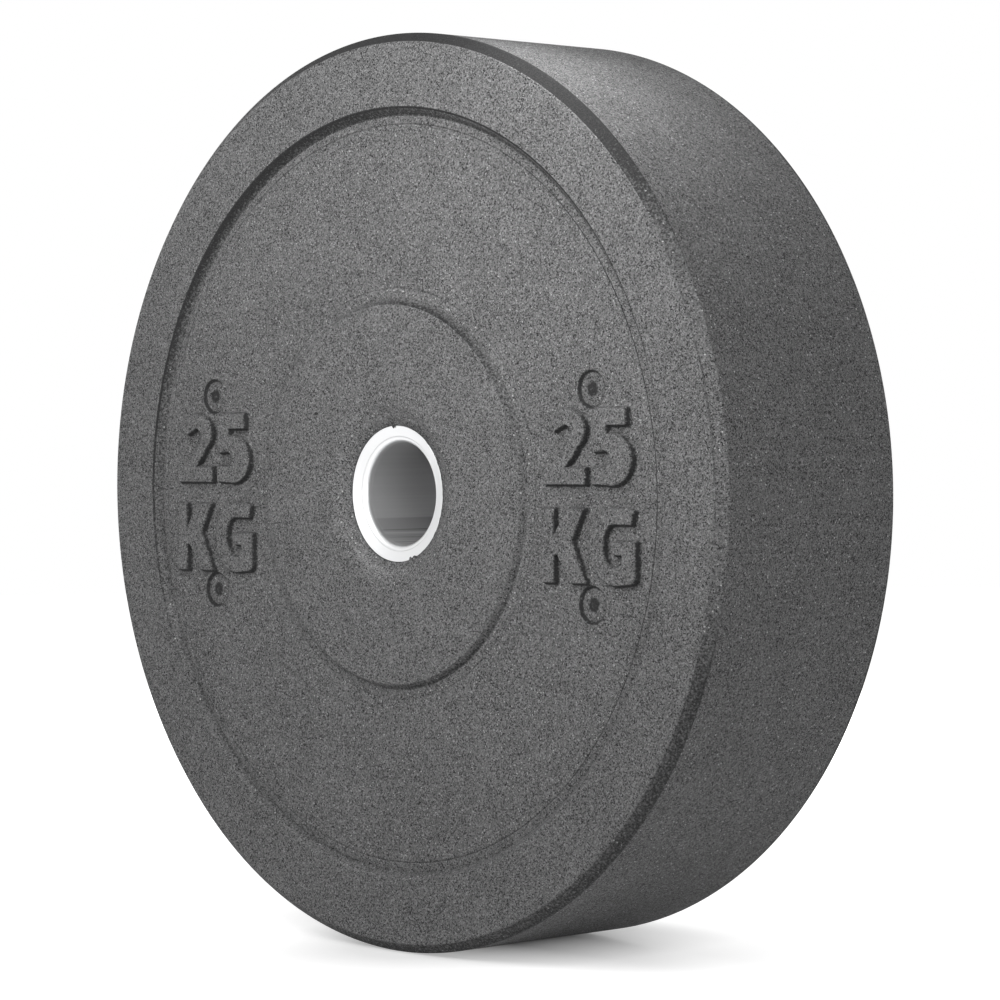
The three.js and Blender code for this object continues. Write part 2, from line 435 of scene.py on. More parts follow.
def drawn_to_edges(x, z, radii, turns, sizes):
    """Grid points moved onto the edges of the letters and marks.

    A point nearer to an edge than half a grid step, measured along the grid, moves straight
    to it, so the edges come out crisp on a coarse grid.
    """
    letters, letter_way = letter_field(x, z, sizes)
    marks, mark_way = mark_field(x, z, sizes)
    spread = np.stack([np.cos(turns), np.sin(turns)], axis=-1)[None]
    along = np.stack([-np.sin(turns), np.cos(turns)], axis=-1)[None]
    step_out = smaller_step(radii)[:, None]
    step_round = radii[:, None] * smaller_step(turns)[None]
    best = np.full(x.shape, np.inf)
    move = np.zeros(x.shape + (2,))
    edges = [
        (letters, letter_way, 0.0),
        (letters, letter_way, sizes.draft),
        (marks, mark_way, sizes.mark_radius),
        (marks, mark_way, sizes.mark_radius - sizes.mark_wall),
    ]
    for distance, way, level in edges:
        off = distance - level
        across = np.abs((way * spread).sum(-1)) * step_out
        sideways = np.abs((way * along).sum(-1)) * step_round
        takes = (np.abs(off) < 0.5 * np.maximum(across, sideways)) & (np.abs(off) < best)
        best = np.where(takes, np.abs(off), best)
        move = np.where(takes[..., None], -off[..., None] * way, move)
    return x + move[..., 0], z + move[..., 1]


def bowl(distance, radius):
    """1 in the middle, falling with the square of the distance to 0 at the radius and beyond."""
    return np.clip(1 - (distance / radius) ** 2, 0, 1)


def band(distance, width, share):
    """1 in the middle of a wall of that width, falling evenly to 0 at a share of it each way."""
    return np.clip(1 - np.abs(distance + 0.5 * width) / (share * width), 0, 1)


def web_relief(x, z, sizes):
    """Height over the web and skin value, at every point of a grid.

    A letter's height falls evenly over its draft from its edge to its foot. A round mark is a
    pit whose floor rises to its middle, where a small dimple has a nub. The skin value nears 1
    on the walls and in the dimple, partly skin that the mould presses smooth and partly painted
    shade, and is small where a letter's wall faces up, which is painted light.
    """
    letters, way = letter_field(x, z, sizes)
    marks, _ = mark_field(x, z, sizes)
    from_edge = marks - sizes.mark_radius
    outside = np.clip((from_edge + sizes.mark_wall) / sizes.mark_wall, 0, 1)
    ramp = np.clip(1 - letters / sizes.draft, 0, 1)
    height = sizes.height * ramp * outside
    risen = bowl(marks, RISE_REACH * sizes.mark_radius)
    height -= (sizes.mark_depth - sizes.mark_rise * risen) * (1 - outside)
    dimple = bowl(marks, sizes.dimple_radius)
    nub = bowl(marks, NUB_REACH * sizes.dimple_radius)
    height -= sizes.dimple_depth * (dimple**DIMPLE_POWER - NUB_HEIGHT * nub)
    # Painted shade with the skin on the walls and in the dimple, less of it on walls that face up.
    wall = band(-letters, sizes.draft, LETTER_BAND)
    wall = wall * np.clip(1 - UPWARD_LESS_SHADE * way[..., 1], WALL_LEAST, 1)
    ring = band(from_edge, sizes.mark_wall, MARK_BAND)
    pit = np.clip(dimple * DIMPLE_SKIN_AND_SHADE, 0, 1) - NUB_PALER * nub
    skin = np.maximum(np.maximum(LETTER_SKIN_AND_SHADE * wall, MARK_SKIN_AND_SHADE * ring), pit)
    return height, np.clip(skin, 0, 1)


# Materials.


def add_node(tree, kind, inputs=None, **settings):
    """A shader node with its settings, its numbers and its links given together."""
    made = tree.nodes.new(kind)
    for key, value in settings.items():
        setattr(made, key, value)
    for key, value in (inputs or {}).items():
        if isinstance(value, bpy.types.NodeSocket):
            tree.links.new(value, made.inputs[key])
        else:
            made.inputs[key].default_value = value
    return made


def calculate(tree, operation, first, second=0.0, third=0.0):
    """The output of a Math node."""
    inputs = {0: first, 1: second, 2: third}
    return add_node(tree, "ShaderNodeMath", inputs, operation=operation).outputs[0]


def weighted(tree, value, weight, base):
    """A value less its middle of 0.5, times a weight, added to a base."""
    centred = calculate(tree, "SUBTRACT", value, 0.5)
    return calculate(tree, "MULTIPLY_ADD", centred, weight, base)


def ranged(tree, value, low, high, to_low=0.0, to_high=1.0):
    """A value carried from one range to another and held there."""
    inputs = {
        "Value": value, "From Min": low, "From Max": high, "To Min": to_low, "To Max": to_high,
    }
    return add_node(tree, "ShaderNodeMapRange", inputs).outputs["Result"]


def three_stops(tree, value, stops, levels):
    """A value carried from three stops to three levels, straight between them."""
    low = ranged(tree, value, stops[0], stops[1], levels[0], levels[1])
    return ranged(tree, value, stops[1], stops[2], low, levels[2])


def mixed(tree, share, first, second):
    """A colour between two colours."""
    inputs = {0: share, 6: first, 7: second}
    return add_node(tree, "ShaderNodeMix", inputs, data_type="RGBA").outputs[2]


def opaque(rgb, share=1.0):
    """A colour, or a share of it, with its fourth number."""
    return (*[share * level for level in rgb], 1.0)


def object_place(tree):
    """The place of a point, in metres from the middle of the plate."""
    return add_node(tree, "ShaderNodeTexCoord").outputs["Object"]


def point_value(tree, name):
    """A value that the mesh carries on its points."""
    return add_node(tree, "ShaderNodeAttribute", attribute_name=name).outputs["Fac"]


def noise(tree, place, scale, detail, roughness=0.5, fine=1.0):
    """Noise about a middle of 0.5, its scale multiplied by how fine the crumb is."""
    inputs = {"Vector": place, "Scale": scale * fine, "Detail": detail, "Roughness": roughness}
    return add_node(tree, "ShaderNodeTexNoise", inputs).outputs["Fac"]


def cells(tree, place, scale, channel):
    """Voronoi cells: a random number from 0 to 1 for each, and the distance to its middle."""
    found = add_node(tree, "ShaderNodeTexVoronoi", {"Vector": place, "Scale": scale}).outputs
    colours = add_node(tree, "ShaderNodeSeparateColor", {"Color": found["Color"]}).outputs
    return colours[channel], found["Distance"]


def spots(tree, place, fine, scale, channel, chosen, reach):
    """1 in the middle of the cells whose random number is above a range, and 0 elsewhere."""
    random, distance = cells(tree, place, scale * fine, channel)
    picked = ranged(tree, random, *chosen)
    return calculate(tree, "MULTIPLY", picked, ranged(tree, distance, *reach))


def bumped(tree, height, strength, distance):
    """The normal of a surface whose relief is a height times a distance in metres."""
    inputs = {"Strength": strength, "Distance": distance, "Height": height}
    return add_node(tree, "ShaderNodeBump", inputs).outputs["Normal"]


def new_material(name):
    """An empty node material and its tree."""
    material = bpy.data.materials.new(name)
    material.use_nodes = True
    material.node_tree.nodes.clear()
    return material, material.node_tree


def finish_material(tree, shader):
    """Joins a shader to the material's output."""
    add_node(tree, "ShaderNodeOutputMaterial", {"Surface": shader.outputs[0]})


# The crumb: how much the granules' own greys, the grit and the clouds count, and the range of
# their sum from the darkest crumb to the lightest.
GREY_WEIGHT, GRIT_WEIGHT, CLOUD_WEIGHT = 0.6, 1.7, 0.25
TONE_RANGE = (-0.57, 0.71)

# Noises: scale, detail and roughness. The scale of grit and fray is beside the granules' own.
CLOUD_NOISE = (45.0, 3.0, 0.55)
GRIT_NOISE, FRAY_NOISE = (1.3, 2.0, 0.7), (0.5, 3.0, 0.6)

# Flecks and pores: the scale of their cells beside the granules', the channel of the cells'
# random colour that picks some of them, the range in which they set in, and the distance from a
# cell's middle at which they end and at which they are whole.
FLECKS = (0.42, 1, (0.94, 0.96), (0.34, 0.22))
PORES = (0.55, 2, (0.84, 0.87), (0.42, 0.2))

# How dark a pore is, and the relief beside the grit's: of the greys, and of a pore.
PORE_SHARE = 0.9
GREY_HEIGHT, PORE_DEPTH = 0.6, 1.2

# The pressed skin: how much noise, grit and grey fray its border, the skin value from which they
# do so in full, and the range of the frayed value in which the skin sets in.
FRAY_WEIGHT, GRIT_FRAY, GREY_FRAY = 1.8, 0.8, 0.3
FRAY_FROM, PRESSED_RANGE = 0.1, (0.32, 0.8)

# Its two tones as shares of its colour, and the range of the grit from one to the other.
SKIN_TONES, SKIN_GRIT = (0.5, 1.7), (0.35, 0.65)

# The range of the fraying noise in which painted light, paler rubber where the skin value is
# below 0, sets in.
PAINTED_LIGHT_RANGE = (0.4, 0.55)

# Relief of the crumb in metres, its strength on the crumb and on the skin, their roughness, and
# the gloss of both.
CRUMB_RELIEF = 0.00028
CRUMB_BUMP, SKIN_BUMP = 1.0, 0.5
CRUMB_ROUGH, SKIN_ROUGH = 0.85, 0.7
RUBBER_GLOSS = 0.15


def crumb_rubber(looks):
    """Pressed crumb rubber: grey granules, pale flecks and small pores, smooth where pressed.

    The granules are Voronoi cells. Each has a grey from its random number, carried to -1 to 1
    and multiplied by its own size, so that most are near the middle, under grit and clouds of
    noise. Where the skin value nears 1 the granules fade into one dark, smoother skin, and noise
    frays the border; as the skin values carry painted shade too, this dark skin is partly painted
    shade. Where the value is below 0 the rubber is painted pale toward the fleck colour, which is
    painted light.
    """
    material, tree = new_material("pressed_crumb")
    place = object_place(tree)
    skin = point_value(tree, "skin")
    fine = 1 / looks.crumb_size
    grey, _ = cells(tree, place, fine, 0)
    grit = noise(tree, place, *GRIT_NOISE, fine)
    cloud = noise(tree, place, *CLOUD_NOISE)
    fray = noise(tree, place, *FRAY_NOISE, fine)

    tone = calculate(tree, "MULTIPLY_ADD", grey, 2.0, -1.0)
    tone = calculate(tree, "MULTIPLY", tone, calculate(tree, "ABSOLUTE", tone))
    tone = calculate(tree, "MULTIPLY", tone, GREY_WEIGHT)
    tone = weighted(tree, grit, GRIT_WEIGHT, tone)
    tone = weighted(tree, cloud, CLOUD_WEIGHT, tone)
    dark, light = opaque(looks.crumb_dark), opaque(looks.crumb_light)
    crumb = mixed(tree, ranged(tree, tone, *TONE_RANGE), dark, light)
    crumb = mixed(tree, spots(tree, place, fine, *FLECKS), crumb, opaque(looks.fleck))
    pore = spots(tree, place, fine, *PORES)
    crumb = mixed(tree, calculate(tree, "MULTIPLY", pore, PORE_SHARE), crumb, opaque(looks.skin))
    # Painted light: where the skin value is below 0, flecks of the fleck colour pale the rubber.
    painted_light = ranged(tree, skin, 0.0, -1.0)
    painted_light_spot = calculate(tree, "MULTIPLY", painted_light, ranged(tree, fray, *PAINTED_LIGHT_RANGE))
    crumb = mixed(tree, painted_light_spot, crumb, opaque(looks.fleck))

    frayed = weighted(tree, fray, FRAY_WEIGHT, skin)
    frayed = weighted(tree, grit, GRIT_FRAY, frayed)
    frayed = weighted(tree, grey, GREY_FRAY, frayed)
    frayed = calculate(tree, "MULTIPLY", frayed, ranged(tree, skin, 0.0, FRAY_FROM))
    pressed = ranged(tree, frayed, *PRESSED_RANGE)
    dark_skin, light_skin = (opaque(looks.skin, share) for share in SKIN_TONES)
    smooth = mixed(tree, ranged(tree, grit, *SKIN_GRIT), dark_skin, light_skin)

    relief = calculate(tree, "MULTIPLY_ADD", grey, GREY_HEIGHT, grit)
    relief = calculate(tree, "SUBTRACT", relief, calculate(tree, "MULTIPLY", pore, PORE_DEPTH))
    strength = ranged(tree, pressed, 0.0, 1.0, CRUMB_BUMP, SKIN_BUMP)
    shader = add_node(tree, "ShaderNodeBsdfPrincipled", {
        "Base Color": mixed(tree, pressed, crumb, smooth),
        "Roughness": ranged(tree, pressed, 0.0, 1.0, CRUMB_ROUGH, SKIN_ROUGH),
        "Normal": bumped(tree, relief, strength, CRUMB_RELIEF),
        "Specular IOR Level": RUBBER_GLOSS,
    })
    finish_material(tree, shader)
    return material


# Streaks in the bore: their noise's scale along X, Y and Z, its detail, the range of it from no
# streak to a whole one, two heights over the axis, and how dark the streaks are above the first
# and below the second.
STREAK_SCALE, STREAK_DETAIL, STREAK_RANGE = (600.0, 6.0, 600.0), 3.0, (0.65, 0.35)
STREAK_HEIGHTS, STREAK_SHARES = (-0.0150, -0.0180), (0.08, 0.6)

# The dark band round the seam: the heights between which it sets in from above, how dark it
# gets, and the heights between which it sets in from below.
BAND_TOP, BAND_SHARE, BAND_FOOT = (-0.0120, -0.0127), 0.4, (-0.0190, -0.0184)

# The seam: the distances from its middle at which it ends and is whole, and how dark it is.
SEAM_REACH, SEAM_SHARE = (0.00045, 0.00015), 0.8

# The bore's marks have this share of its colour.
MARKED_TONE = 0.15

# Turned rings: how many to a metre of radius, the noise's detail, how much they roughen the
# steel, and the strength and height of their relief.
RING_SCALE, RING_DETAIL, RING_ROUGH = 6000.0, 2.0, 0.06
RING_STRENGTH, RING_RELIEF = 0.08, 0.00005

# Roughness and metal of the bright steel and of the bore.
STEEL_ROUGH, BORE_ROUGH = 0.34, 0.6
STEEL_METAL, BORE_METAL = 1.0, 0.3


def turned_steel(looks):
    """Turned stainless steel: fine rings round the axis, and a dull, drawn bore.

    The rings are noise on the radius. The bore value turns the steel dull and grey; it grows
    with depth, so the bore darkens further in, partly its drawn finish and partly painted shade.
    The tube's seam is a thin dark line along the bar, low on one side, in a dark band. Dark
    streaks, faint but for the bottom of the bore, are noise drawn out along Y.
    """
    material, tree = new_material("turned_steel")
    place = object_place(tree)
    bore = point_value(tree, "bore")
    x, _, z = add_node(tree, "ShaderNodeSeparateXYZ", {"Vector": place}).outputs
    flat = add_node(tree, "ShaderNodeCombineXYZ", {"X": x, "Z": z}).outputs[0]
    radius = add_node(tree, "ShaderNodeVectorMath", {0: flat}, operation="LENGTH").outputs["Value"]
    inputs = {"W": calculate(tree, "MULTIPLY", radius, RING_SCALE), "Detail": RING_DETAIL}
    rings = add_node(tree, "ShaderNodeTexNoise", inputs, noise_dimensions="1D").outputs["Fac"]

    squeezed = add_node(tree, "ShaderNodeMapping", {"Vector": place, "Scale": STREAK_SCALE})
    streak = noise(tree, squeezed.outputs[0], 1.0, STREAK_DETAIL)
    streak = ranged(tree, streak, *STREAK_RANGE)
    streak = calculate(tree, "MULTIPLY", streak, ranged(tree, z, *STREAK_HEIGHTS, *STREAK_SHARES))
    off_seam = calculate(tree, "ABSOLUTE", calculate(tree, "ADD", z, looks.seam_drop))
    left = calculate(tree, "LESS_THAN", x, 0.0)
    seam = calculate(tree, "MULTIPLY", ranged(tree, off_seam, *SEAM_REACH), left)
    seam = calculate(tree, "MULTIPLY", seam, SEAM_SHARE)
    band_top = ranged(tree, z, *BAND_TOP, 0.0, BAND_SHARE)
    dark_band = calculate(tree, "MULTIPLY", band_top, ranged(tree, z, *BAND_FOOT))
    marked = calculate(tree, "MAXIMUM", calculate(tree, "MAXIMUM", streak, seam), dark_band)

    dull = mixed(tree, marked, opaque(looks.bore), opaque(looks.bore, MARKED_TONE))
    rough = ranged(tree, bore, 0.0, 1.0, STEEL_ROUGH, BORE_ROUGH)
    shader = add_node(tree, "ShaderNodeBsdfPrincipled", {
        "Base Color": mixed(tree, bore, opaque(looks.steel), dull),
        "Roughness": calculate(tree, "MULTIPLY_ADD", rings, RING_ROUGH, rough),
        "Metallic": ranged(tree, bore, 0.0, 1.0, STEEL_METAL, BORE_METAL),
        "Normal": bumped(tree, rings, RING_STRENGTH, RING_RELIEF),
    })
    finish_material(tree, shader)
    return material


# Buried steel: the clouds' detail, the range of them from the darker tone to the full one, the
# darker tone's share, how much of a metal it is, and the strength and height of its relief.
BURIED_DETAIL, BURIED_CLOUDS, BURIED_SHADE, BURIED_METAL = 5.0, (0.35, 0.65), 0.6, 0.9
BURIED_STRENGTH, BURIED_RELIEF = 0.4, 0.0002


def plain_steel(name, tone, scale, roughness):
    """Rolled or welded steel: a cloudy tone and a fine bump from noise."""
    material, tree = new_material(name)
    cloud = noise(tree, object_place(tree), scale, BURIED_DETAIL)
    share = ranged(tree, cloud, *BURIED_CLOUDS)
    shader = add_node(tree, "ShaderNodeBsdfPrincipled", {
        "Base Color": mixed(tree, share, opaque(tone, BURIED_SHADE), opaque(tone)),
        "Roughness": roughness,
        "Metallic": BURIED_METAL,
        "Normal": bumped(tree, cloud, BURIED_STRENGTH, BURIED_RELIEF),
    })
    finish_material(tree, shader)
    return material


# The floor's glow under the plate, which is weaker near it as a painted shadow: its strength
# at three distances to the left and right.
UNDER_STOPS, UNDER_LEVELS = (0.015, 0.1, 0.25), (0.0, 0.6, 1.0)

# Its glow around the plate, which paints the rest of the shadow: its strength at three
# distances from a line under the bar's axis.
AROUND_STOPS, AROUND_LEVELS = (0.03, 0.1, 0.3), (0.38, 0.75, 1.0)

# The ends of that line along Y, and how much more a distance behind its rear end counts.
LINE_FRONT, LINE_REAR, REAR_WEIGHT = -0.045, 0.078, 3.0

# Where the middle of the shadow lies along Y, and the distances from it along Y between which
# the first glow goes over to the second.
SHADOW_MIDDLE, UNDER_TO_AROUND = 0.02, (0.02, 0.065)

# The floor's own grey, and plain white.
FLOOR_GREY = (0.8, 0.8, 0.8)
WHITE = (1.0, 1.0, 1.0)


def white_in_view(tree):
    """1 for rays from the camera and for rays from gloss and glass, else 0."""
    path = add_node(tree, "ShaderNodeLightPath").outputs
    seen = calculate(tree, "MAXIMUM", path["Is Camera Ray"], path["Is Glossy Ray"])
    return calculate(tree, "MAXIMUM", seen, path["Is Transmission Ray"])


def floor_white():
    """A white floor that glows in view, less so near the plate, where the weaker glow is a painted
    shadow on top of the lamps' own.

    Under the plate the strength depends on how far left or right a point is, and around it on
    the distance to a line under the bar's axis.
    """
    material, tree = new_material("floor_white")
    x, y, _ = add_node(tree, "ShaderNodeSeparateXYZ", {"Vector": object_place(tree)}).outputs
    along = calculate(tree, "ABSOLUTE", calculate(tree, "SUBTRACT", y, SHADOW_MIDDLE))
    behind = calculate(tree, "MULTIPLY", calculate(tree, "SUBTRACT", y, LINE_REAR), REAR_WEIGHT)
    before = calculate(tree, "SUBTRACT", LINE_FRONT, y)
    beyond = calculate(tree, "MAXIMUM", calculate(tree, "MAXIMUM", behind, before), 0.0)
    flat = add_node(tree, "ShaderNodeCombineXYZ", {"X": x, "Y": beyond}).outputs[0]
    far = add_node(tree, "ShaderNodeVectorMath", {0: flat}, operation="LENGTH").outputs["Value"]
    # Painted shadow: the glow is weaker under and around the plate.
    under = three_stops(tree, calculate(tree, "ABSOLUTE", x), UNDER_STOPS, UNDER_LEVELS)
    around_it = three_stops(tree, far, AROUND_STOPS, AROUND_LEVELS)
    inputs = {
        "Color": opaque(WHITE),
        "Strength": ranged(tree, along, *UNDER_TO_AROUND, under, around_it),
    }
    glow = add_node(tree, "ShaderNodeEmission", inputs).outputs[0]
    plain = add_node(tree, "ShaderNodeBsdfDiffuse", {"Color": opaque(FLOOR_GREY)}).outputs[0]
    both = add_node(tree, "ShaderNodeAddShader", {0: plain, 1: glow}).outputs[0]
    inputs = {"Fac": white_in_view(tree), 1: plain, 2: both}
    finish_material(tree, add_node(tree, "ShaderNodeMixShader", inputs))
    return material


def kept_material(name, make):
    """The material of that name, made from the looks the first time it is asked for."""
    return bpy.data.materials.get(name) or make(bpy.context.scene.plate_looks)


# Pieces.


# How many facets each kind of piece has round the bar's axis.
BODY_TURNS, STEEL_TURNS, FLOOR_TURNS = 540, 192, 96

# How smooth the mould presses the rubber round the plate, and where shade and light are painted
# into it: the weakest and the strongest skin value, the direction of the strongest in degrees,
# how far from it the skin is weakest again, and the direction of a second, weaker patch, or the
# same direction where there is none. The weakest value is skin that the mould presses smooth,
# in the creases partly painted shade as well. The rise toward a direction is painted shade on the
# tread's edge, the chamfer, the rim's step, the creases and the hub's foot, and a darker patch at
# the hub's edge. A value below 0 is painted light: paler rubber on the dish and at the lip's edge.
BARE = (0.0, 0.0, 0, 180, 0)
PRESSED = (1.0, 1.0, 0, 180, 0)
OUTER_EDGE_SKIN_AND_SHADE = (0.0, 1.5, 75, 70, 300)
CHAMFER_SKIN_AND_SHADE = (0.0, 1.25, 75, 74, 300)
INNER_EDGE_SKIN_AND_SHADE = (0.1, 0.45, 12, 50, 12)
RIM_EDGE_SHADE = (0.0, 1.5, 108, 150, 108)
RIM_WALL_SKIN_AND_SHADE = (0.15, 1.0, 128, 80, 128)
RIM_FOOT_SKIN_AND_SHADE = (0.25, 0.7, 95, 110, 200)
OUTER_CREASE_SKIN_AND_SHADE = (0.4, 1.0, 15, 90, 15)
INNER_CREASE_SKIN_AND_SHADE = (0.2, 0.5, 0, 80, 180)
HUB_FOOT_SKIN_AND_SHADE = (0.15, 0.65, 300, 75, 50)
HUB_EDGE_DARKENING = (0.15, 0.74, 66, 68, 66)
DISH_PAINTED_LIGHT = (0.0, -0.25, 240, 50, 95)
LIP_EDGE_SKIN_AND_LIGHT = (0.3, -0.1, 95, 70, 95)

# How strong a second patch may get, as a share of the first.
SECOND_MOST = 0.44

# How far out on the chamfer, from the face to the tread, its skin is whole.
CHAMFER_SHARE = 0.11

# How far an edge's skin and its painted shade fade out: over the tread, over the rim's face beside
# the chamfer, on both sides of the rim's inner edge, and over the hub face.
TREAD_FADE, FACE_FADE, RIM_FADE, HUB_FADE = 0.0014, 0.0008, 0.0006, 0.0010

# Beside the foot of each slope the web's edge runs out over this width and rises this much.
FOOT_RUN, FOOT_RISE = 0.0010, 0.0001

# Rounding of the dish's two bends, and how far inside its shoulder the dish's painted light lies.
DISH_ROUNDING, PAINTED_LIGHT_PLACE = 0.0012, 0.004

# How far the rubber's last edge stands over the steel lip.
LIP_FLAP = 0.00025

# Nibs of rubber that reach in over the steel lip: direction and half width in degrees, and reach.
LIP_NIBS = ((93.0, 2.5, 0.0017), (287.5, 2.2, 0.0016), (292.5, 3.2, 0.0012))

# The waver of that edge: its height, and each wave's count round the plate and its shift.
WAVER, WAVES = 0.00008, ((17, 0), (31, 1), (53, 2))


def degrees_off(turns, toward):
    """How far each turn is from a direction, in degrees either way."""
    return np.abs((np.degrees(turns) - toward + 180) % 360 - 180)


def nib_reach(turns):
    """How far the rubber reaches in over the lip at each turn: parabolas, and a slight waver."""
    reach = WAVER * sum(np.sin(count * turns + shift) for count, shift in WAVES).clip(0)
    for toward, spread, most in LIP_NIBS:
        reach = np.maximum(reach, most * bowl(degrees_off(turns, toward), spread))
    return reach


def skin_and_painted_shade_round(values, turns):
    """Skin value of each profile point at each turn: a cosine bump round each direction, which is
    painted shade, and painted light where the value is below 0.
    """
    weak, strong, toward, spread, second = values.T[..., None]
    off = (degrees_off(turns, toward), degrees_off(turns, second))
    near, other = (0.5 + 0.5 * np.cos(np.pi * np.minimum(way / spread, 1)) for way in off)
    near = np.maximum(near, np.minimum(other, SECOND_MOST))
    return np.minimum(weak + (strong - weak) * near, 1)


def face_corners(s, y):
    """Corners of one face of the rubber body, from the tread in to the steel lip.

    The lettered ring's place is a shallow pocket between the two creases.
    """
    r = s.rounding
    face_edge = s.tread_radius - s.edge_width
    chamfer = face_edge + CHAMFER_SHARE * s.edge_width, y - CHAMFER_SHARE * s.edge_depth
    rim_foot, hub_foot = s.rim_radius - s.rim_step, s.hub_radius + s.hub_step
    wall = s.rim_radius - RIM_FADE, y - RIM_FADE / s.rim_step * s.rim_drop
    web = y - s.web_depth
    pocket = web - s.ring_thickness
    painted_light_spot = s.shoulder_radius - PAINTED_LIGHT_PLACE, y - 0.5 * (s.shoulder_drop + s.lip_depth)
    # Skin values with painted shade toward some directions, and painted light on the dish.
    return [
        (s.tread_radius, y - s.edge_depth - TREAD_FADE, 0, *BARE),
        (s.tread_radius, y - s.edge_depth, r, *OUTER_EDGE_SKIN_AND_SHADE),
        (*chamfer, 0, *CHAMFER_SKIN_AND_SHADE),
        (face_edge, y, 0.5 * r, *INNER_EDGE_SKIN_AND_SHADE),
        (face_edge - FACE_FADE, y, 0, *BARE),
        (s.rim_radius + RIM_FADE, y, 0, *BARE),
        (s.rim_radius, y, 0.5 * r, *RIM_EDGE_SHADE),
        (*wall, 0, *RIM_WALL_SKIN_AND_SHADE),
        (rim_foot, y - s.rim_drop, 0.5 * r, *RIM_FOOT_SKIN_AND_SHADE),
        (rim_foot - FOOT_RUN, y - s.rim_drop + FOOT_RISE, 0, *BARE),
        (s.web_outer + 3 * s.crease_width, web, 0, *BARE),
        (s.web_outer + s.crease_width, web, 0, *BARE),
        (s.web_outer, web - s.outer_crease, 0, *OUTER_CREASE_SKIN_AND_SHADE),
        (s.web_outer, pocket, 0, *PRESSED),
        (s.web_inner, pocket, 0, *PRESSED),
        (s.web_inner, web - s.inner_crease, 0, *INNER_CREASE_SKIN_AND_SHADE),
        (s.web_inner - s.crease_width, web, 0, *BARE),
        (hub_foot + FOOT_RUN, y - s.hub_drop + FOOT_RISE, 0, *BARE),
        (hub_foot, y - s.hub_drop, 0.5 * r, *HUB_FOOT_SKIN_AND_SHADE),
        (s.hub_radius, y, 0.5 * r, *HUB_EDGE_DARKENING),
        (s.hub_radius - HUB_FADE, y, 0, *BARE),
        (s.dish_radius, y, DISH_ROUNDING, *BARE),
        (s.shoulder_radius, y - s.shoulder_drop, DISH_ROUNDING, *BARE),
        (*painted_light_spot, 0, *DISH_PAINTED_LIGHT),
    ]


def collar_levels(s, t):
    """Places along the bar of the lip's front and back, the flange's back and the tail's end."""
    top = s.half_width - s.lip_depth
    lip_back = top - t.lip_thickness
    flange_back = lip_back - t.flange_thickness
    return top, lip_back, flange_back, flange_back - t.tail_length


def hub_space_corners(s, t):
    """Corners of the rubber round the buried steel, from the lip to the middle of the plate."""
    gap = t.clearance
    wide = t.sleeve_radius + gap
    top, lip_back, flange_back, tail = collar_levels(s, t)
    lip = [(t.lip_radius + gap, top + LIP_FLAP), (t.lip_radius + gap, top)]
    buried = [
        (t.lip_radius + gap, lip_back + gap),
        (t.flange_radius + gap, lip_back + gap),
        (t.flange_radius + gap, flange_back - gap),
        (t.tail_radius + gap, flange_back - gap),
        (t.tail_radius + gap, tail - gap),
        (wide + t.weld_leg + gap, tail - gap),
        (wide, tail - t.weld_leg - 2 * gap),
        (wide, t.anchor_outer + t.weld_leg + 2 * gap),
        (wide + t.weld_leg + gap, t.anchor_outer + gap),
        (t.anchor_radius + gap, t.anchor_outer + gap),
        (t.anchor_radius + gap, t.anchor_inner - gap),
        (wide, t.anchor_inner - gap),
    ]
    return [
        # The lip's edge has skin, and painted light toward the top.
        *[(*corner, 0, *LIP_EDGE_SKIN_AND_LIGHT) for corner in lip],
        *[(*corner, 0, *PRESSED) for corner in buried],
    ]


def add_rubber(name, points, faces, skin):
    """A rubber piece with its skin values, which carry painted shade and painted light too."""
    rubber = kept_material("pressed_crumb", crumb_rubber)
    return add_piece(name, points, faces, rubber, {"skin": skin})


def add_steel(name, corners):
    """A turned steel piece from its profile's corners, the last value of each its dullness."""
    profile, bore = rounded(corners)
    points = revolve(profile, around(STEEL_TURNS))
    faces = grid_faces(*points.shape[:2])
    steel = kept_material("turned_steel", turned_steel)
    values = {"bore": np.repeat(bore, STEEL_TURNS, axis=0)}
    return add_piece(name, points, faces, steel, values)


class PLATE_OT_rubber_body(bpy.types.Operator):
    """Make the turned rubber body, with its tread, rim, hub face and dished mouth"""

    bl_idname = "plate.rubber_body"
    bl_label = "Rubber body"

    def execute(self, context):
        s, t = context.scene.plate_rubber, context.scene.plate_steel
        half = face_corners(s, s.half_width) + hub_space_corners(s, t)
        profile, skin = rounded(half + mirrored(half))
        turns = around(BODY_TURNS)
        points = revolve(profile, turns)
        lip = s.half_width - s.lip_depth + LIP_FLAP
        edge = t.lip_radius + t.clearance
        flap = np.isclose(profile[:, 0], edge) & np.isclose(np.abs(profile[:, 1]), lip)
        inward = 1 - nib_reach(turns) / edge
        points[flap] *= np.stack([inward, np.ones_like(inward), inward], axis=1)
        faces = grid_faces(*points.shape[:2])
        piece = add_rubber("rubber_body_fine", points, faces, skin_and_painted_shade_round(skin, turns))
        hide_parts("rubber_body")
        return {"FINISHED"}


# The grid of a lettered ring: the radii between which its rows are fine, how far from a label's
# middle its columns are fine, and the steps in each stretch.
FINE_RADII, RADIUS_STEPS = (0.1050, 0.1745), (4, 140, 5)
FINE_ANGLE, ANGLE_STEPS = math.radians(24.0), (255, 45, 255, 45)

# Gap between a lettered ring and its pocket in the body.
RING_SLACK = 0.00001


